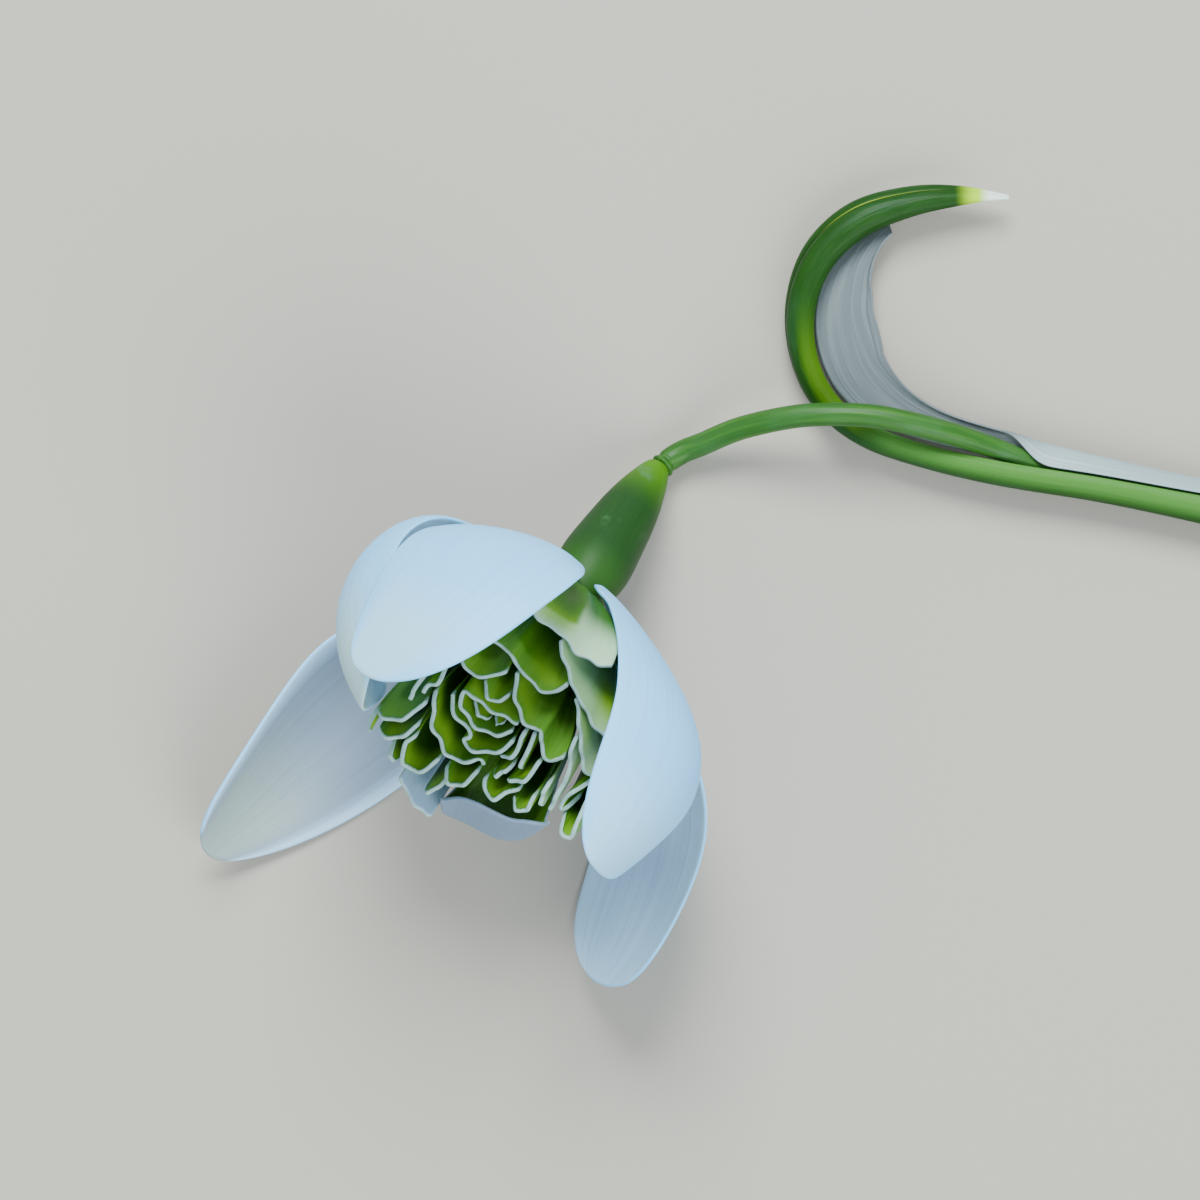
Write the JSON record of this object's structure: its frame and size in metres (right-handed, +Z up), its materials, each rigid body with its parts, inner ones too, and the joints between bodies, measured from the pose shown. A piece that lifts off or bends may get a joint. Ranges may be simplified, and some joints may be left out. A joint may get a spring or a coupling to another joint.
{
  "type": "snowdrop flower",
  "caption": "Double snowdrop flower, picked and lying down, with spreading white outer petals, a packed green and white rosette, an egg-shaped ovary, a thin stalk and a hooked spathe.",
  "frame": {"origin": "bottom centre of the bounding box, on the surface the flower lies on", "axes": "+X runs along the stalk from the flower head towards the cut end, +Z is up from the surface, and the petals point towards -X and -Y"},
  "size_m": [0.0842, 0.0444, 0.0237],
  "materials": {
    "outer_white": "satin petal skin",
    "inner_green": "satin petal skin with white rims",
    "ovary_green": "smooth waxy skin",
    "stalk_green": "smooth waxy skin with a pale bloom",
    "membrane": "thin translucent papery skin"
  },
  "bodies": {
    "root": {"scape": "stalk_green", "spathe": "stalk_green", "spathe_membrane": "membrane", "pedicel": "stalk_green", "ovary": "ovary_green", "outer_tepal_1": "outer_white", "outer_tepal_2": "outer_white", "outer_tepal_3": "outer_white", "outer_tepal_4": "outer_white", "outer_tepal_5": "outer_white", "inner_tepal_01": "inner_green", "inner_tepal_02": "inner_green", "inner_tepal_03": "inner_green", "inner_tepal_04": "inner_green", "inner_tepal_05": "inner_green", "inner_tepal_06": "inner_green", "inner_tepal_07": "inner_green", "inner_tepal_08": "inner_green", "inner_tepal_09": "inner_green", "inner_tepal_10": "inner_green", "inner_tepal_11": "inner_green", "inner_tepal_12": "inner_green", "inner_tepal_13": "inner_green", "inner_tepal_14": "inner_green", "inner_tepal_15": "inner_green", "inner_tepal_16": "inner_green", "inner_tepal_17": "inner_green", "inner_tepal_18": "inner_green", "inner_tepal_19": "inner_green", "inner_tepal_20": "inner_green", "inner_tepal_21": "inner_green", "inner_tepal_22": "inner_green", "inner_tepal_23": "inner_green", "inner_tepal_24": "inner_green", "inner_tepal_25": "inner_green", "inner_tepal_26": "inner_green", "inner_tepal_27": "inner_green", "inner_tepal_28": "inner_green", "inner_tepal_29": "inner_green", "inner_tepal_30": "inner_green", "inner_tepal_31": "inner_green", "inner_tepal_32": "inner_green", "inner_tepal_33": "inner_green", "inner_tepal_34": "inner_green", "inner_tepal_35": "inner_green", "inner_tepal_36": "inner_green", "inner_tepal_37": "inner_green", "inner_tepal_38": "inner_green", "inner_tepal_39": "inner_green", "inner_tepal_40": "inner_green"}
  },
  "joints": []
}
